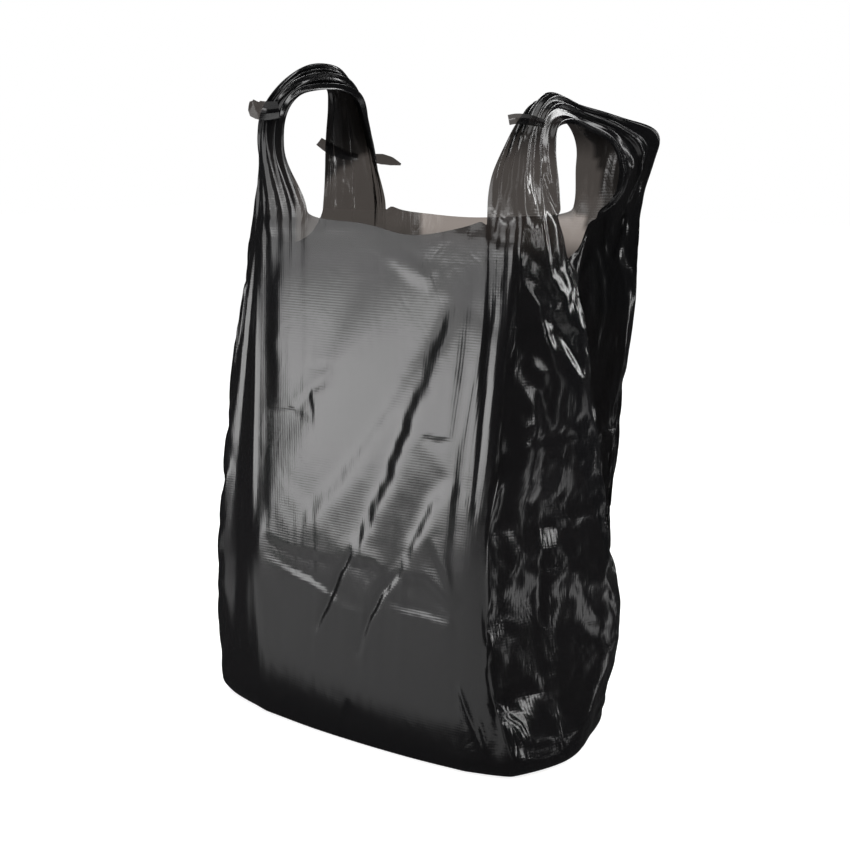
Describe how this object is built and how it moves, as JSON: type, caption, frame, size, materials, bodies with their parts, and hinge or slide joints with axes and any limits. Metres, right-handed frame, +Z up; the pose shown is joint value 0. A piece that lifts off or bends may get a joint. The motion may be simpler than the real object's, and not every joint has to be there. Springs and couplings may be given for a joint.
{
  "type": "plastic carrier bag",
  "caption": "Thin film vest carrier bag with gusseted sides and two looped handles, standing open on its flat base.",
  "frame": {"origin": "middle of the flat base, midway between the front and back panels and between the two front folds, on the surface that the bag stands on", "axes": "+Z up towards the handles, +X from the left handle to the right handle, -Y out of the front panel"},
  "size_m": [0.3887, 0.1972, 0.5911],
  "materials": {
    "film": "glossy black polyethylene film, slightly see-through where one layer stands against light"
  },
  "bodies": {
    "root": {"carrier_bag": "film"}
  },
  "joints": []
}
